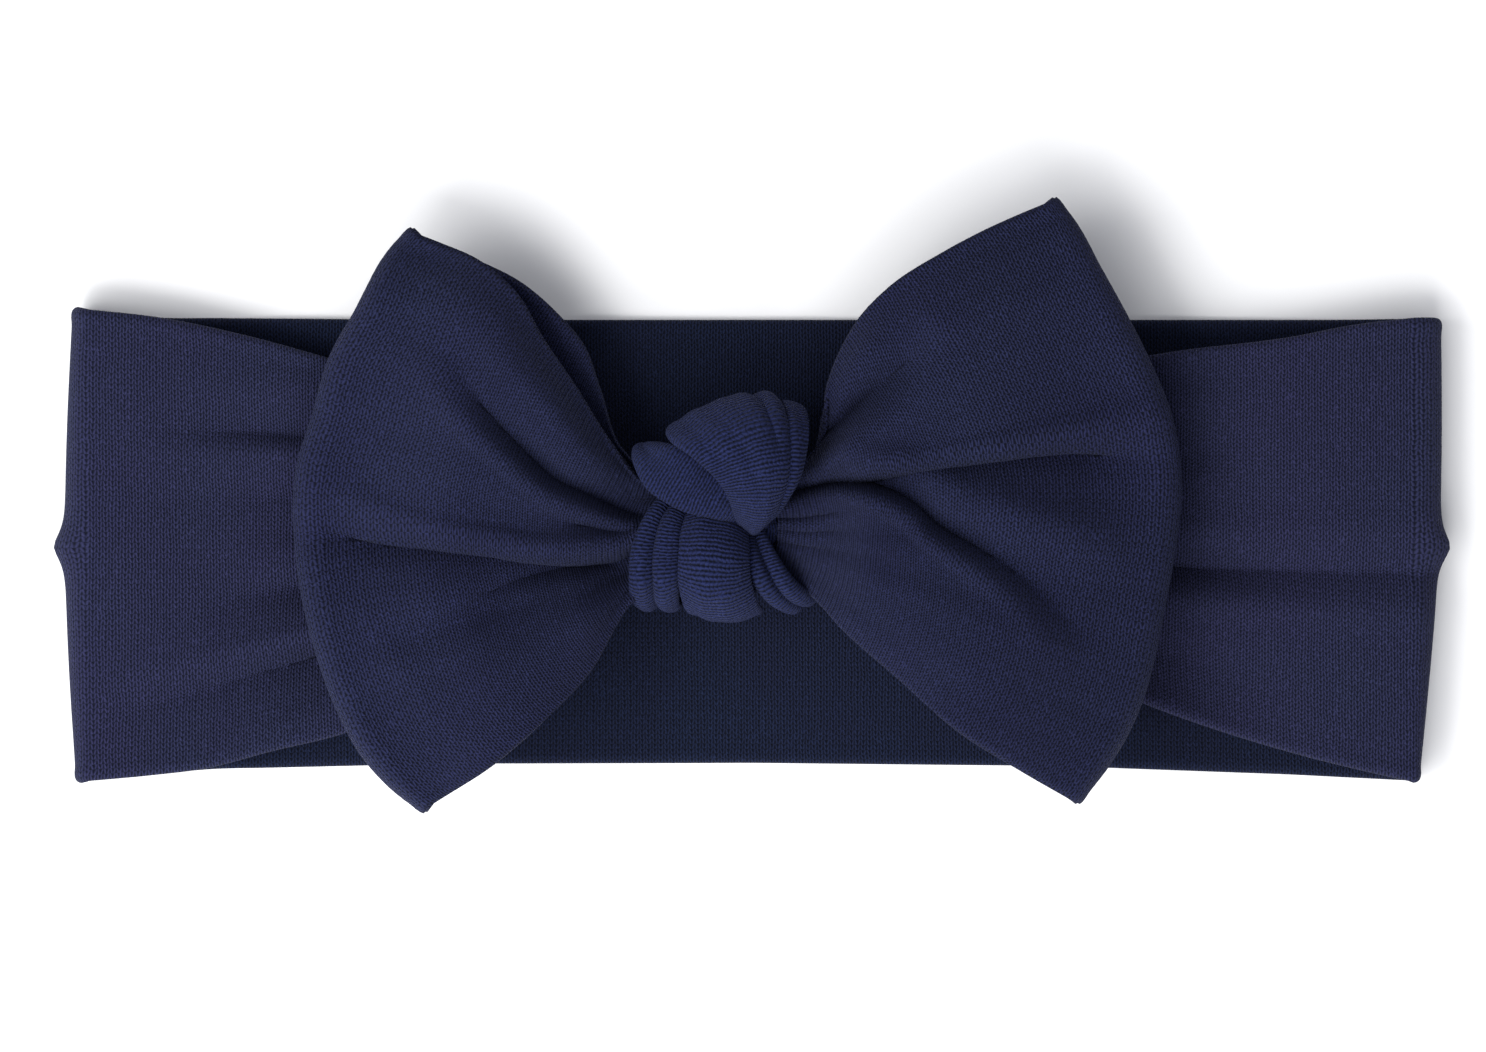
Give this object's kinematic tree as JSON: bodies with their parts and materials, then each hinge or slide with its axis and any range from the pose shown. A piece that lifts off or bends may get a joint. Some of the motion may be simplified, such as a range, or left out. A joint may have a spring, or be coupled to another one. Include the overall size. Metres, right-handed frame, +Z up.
{
  "type": "knotted headband",
  "caption": "Stretch jersey headband lying flat as a loop, with a tied bow and a gathered knot on its front.",
  "frame": {"origin": "on the surface the headband lies on, under the middle of the whole headband", "axes": "+X along the band from side fold to side fold, +Y across the band to its top edge, +Z up through the knot"},
  "size_m": [0.18, 0.0788, 0.027],
  "materials": {
    "jersey_face": "matte",
    "jersey_inside": "matte",
    "sewing_thread": "matte"
  },
  "bodies": {
    "band": {"band_back_panel": "jersey_inside", "band_left_side_fold": "jersey_face", "band_right_side_fold": "jersey_face"},
    "left_front": {"band_left_front_panel": "jersey_face"},
    "right_front": {"band_right_front_panel": "jersey_face"},
    "knot": {"band_gathered_centre": "jersey_face", "band_join_seam": "sewing_thread", "knot_left_tack_stitch": "sewing_thread", "knot_right_tack_stitch": "sewing_thread", "knot_core": "jersey_face", "knot_upper_wrap": "jersey_face", "knot_left_tuck": "jersey_face", "knot_left_strand": "jersey_face", "knot_centre_panel": "jersey_face", "knot_right_strand": "jersey_face"},
    "left_ear": {"bow_left_ear_back_layer": "jersey_face", "bow_left_ear_front_layer": "jersey_face"},
    "right_ear": {"bow_right_ear_back_layer": "jersey_face", "bow_right_ear_front_layer": "jersey_face"}
  },
  "joints": [
    {"name": "loop_open", "type": "slide", "parent": "band", "child": "knot", "axis": [0, 0, 1], "range_m": [0, 0.04]},
    {"name": "left_front_tilt", "type": "hinge", "parent": "band", "child": "left_front", "pos_m": [-0.084, 0, 0.0086], "axis": [0, -1, 0], "range_deg": [0, 35]},
    {"name": "right_front_tilt", "type": "hinge", "parent": "band", "child": "right_front", "pos_m": [0.084, 0, 0.0086], "axis": [0, 1, 0], "range_deg": [0, 31]},
    {"name": "left_ear_lift", "type": "hinge", "parent": "knot", "child": "left_ear", "pos_m": [-0.0161, 0, 0.017], "axis": [0, 1, 0], "range_deg": [0, 75]},
    {"name": "right_ear_lift", "type": "hinge", "parent": "knot", "child": "right_ear", "pos_m": [0.0085, 0, 0.017], "axis": [0, -1, 0], "range_deg": [0, 75]}
  ],
  "couplings": [
    {"joint": "left_front_tilt", "follows": "loop_open", "rad_per_m": 14.75},
    {"joint": "right_front_tilt", "follows": "loop_open", "rad_per_m": 13.26}
  ]
}
